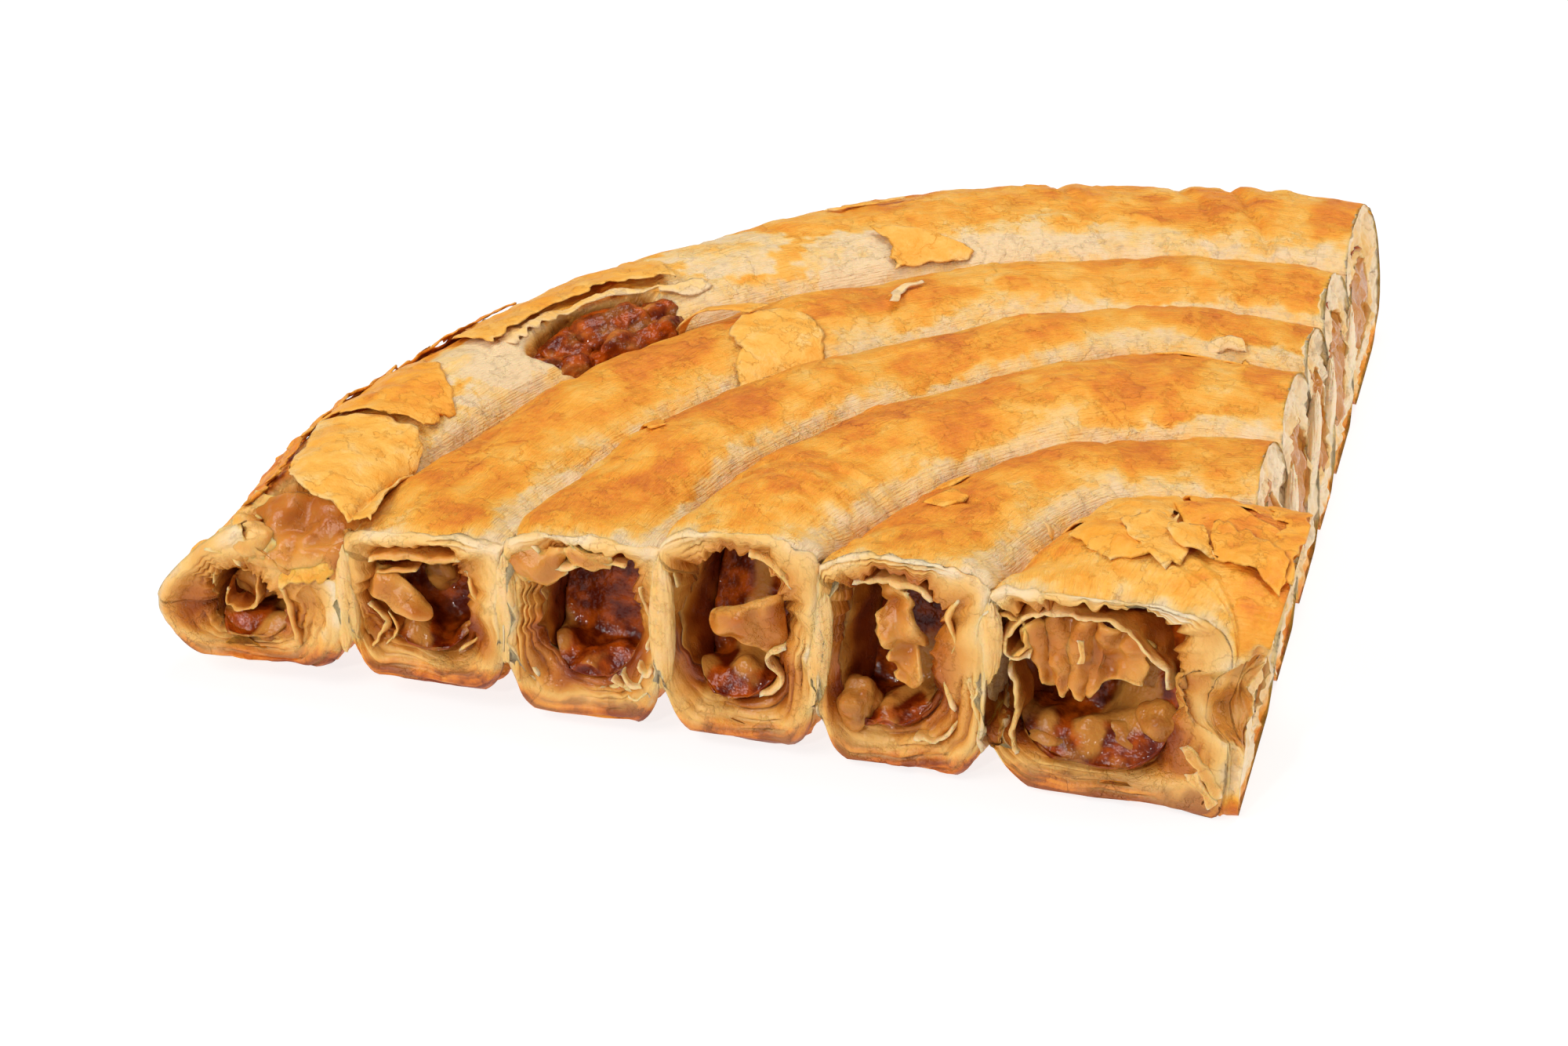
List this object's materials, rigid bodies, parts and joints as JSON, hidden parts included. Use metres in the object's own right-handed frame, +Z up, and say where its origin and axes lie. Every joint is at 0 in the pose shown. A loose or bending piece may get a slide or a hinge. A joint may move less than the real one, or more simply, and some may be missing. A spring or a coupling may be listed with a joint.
{
  "type": "burek",
  "caption": "Quarter of a round coiled burek: baked pastry rolls side by side, round an apple and jam filling that shows at the cuts.",
  "frame": {"origin": "centre of the footprint, on the surface that the underside rests on", "axes": "+Z up; the first cut face looks along -Y and shows the open roll ends, the second cut face looks along +X, and the coil's centre is the corner at +X, -Y"},
  "size_m": [0.1751, 0.166, 0.0396],
  "materials": {
    "baked_dough": "flaky baked pastry, golden on top and cream at the cuts",
    "apple_filling": "wet apple and jam"
  },
  "bodies": {
    "root": {"dough_turn_1": "baked_dough", "dough_turn_2": "baked_dough", "dough_turn_3": "baked_dough", "dough_turn_4": "baked_dough", "dough_turn_5": "baked_dough", "dough_turn_6": "baked_dough", "filling_1": "apple_filling", "filling_2": "apple_filling", "filling_3": "apple_filling", "filling_4": "apple_filling", "filling_5": "apple_filling", "filling_6": "apple_filling"}
  },
  "joints": []
}
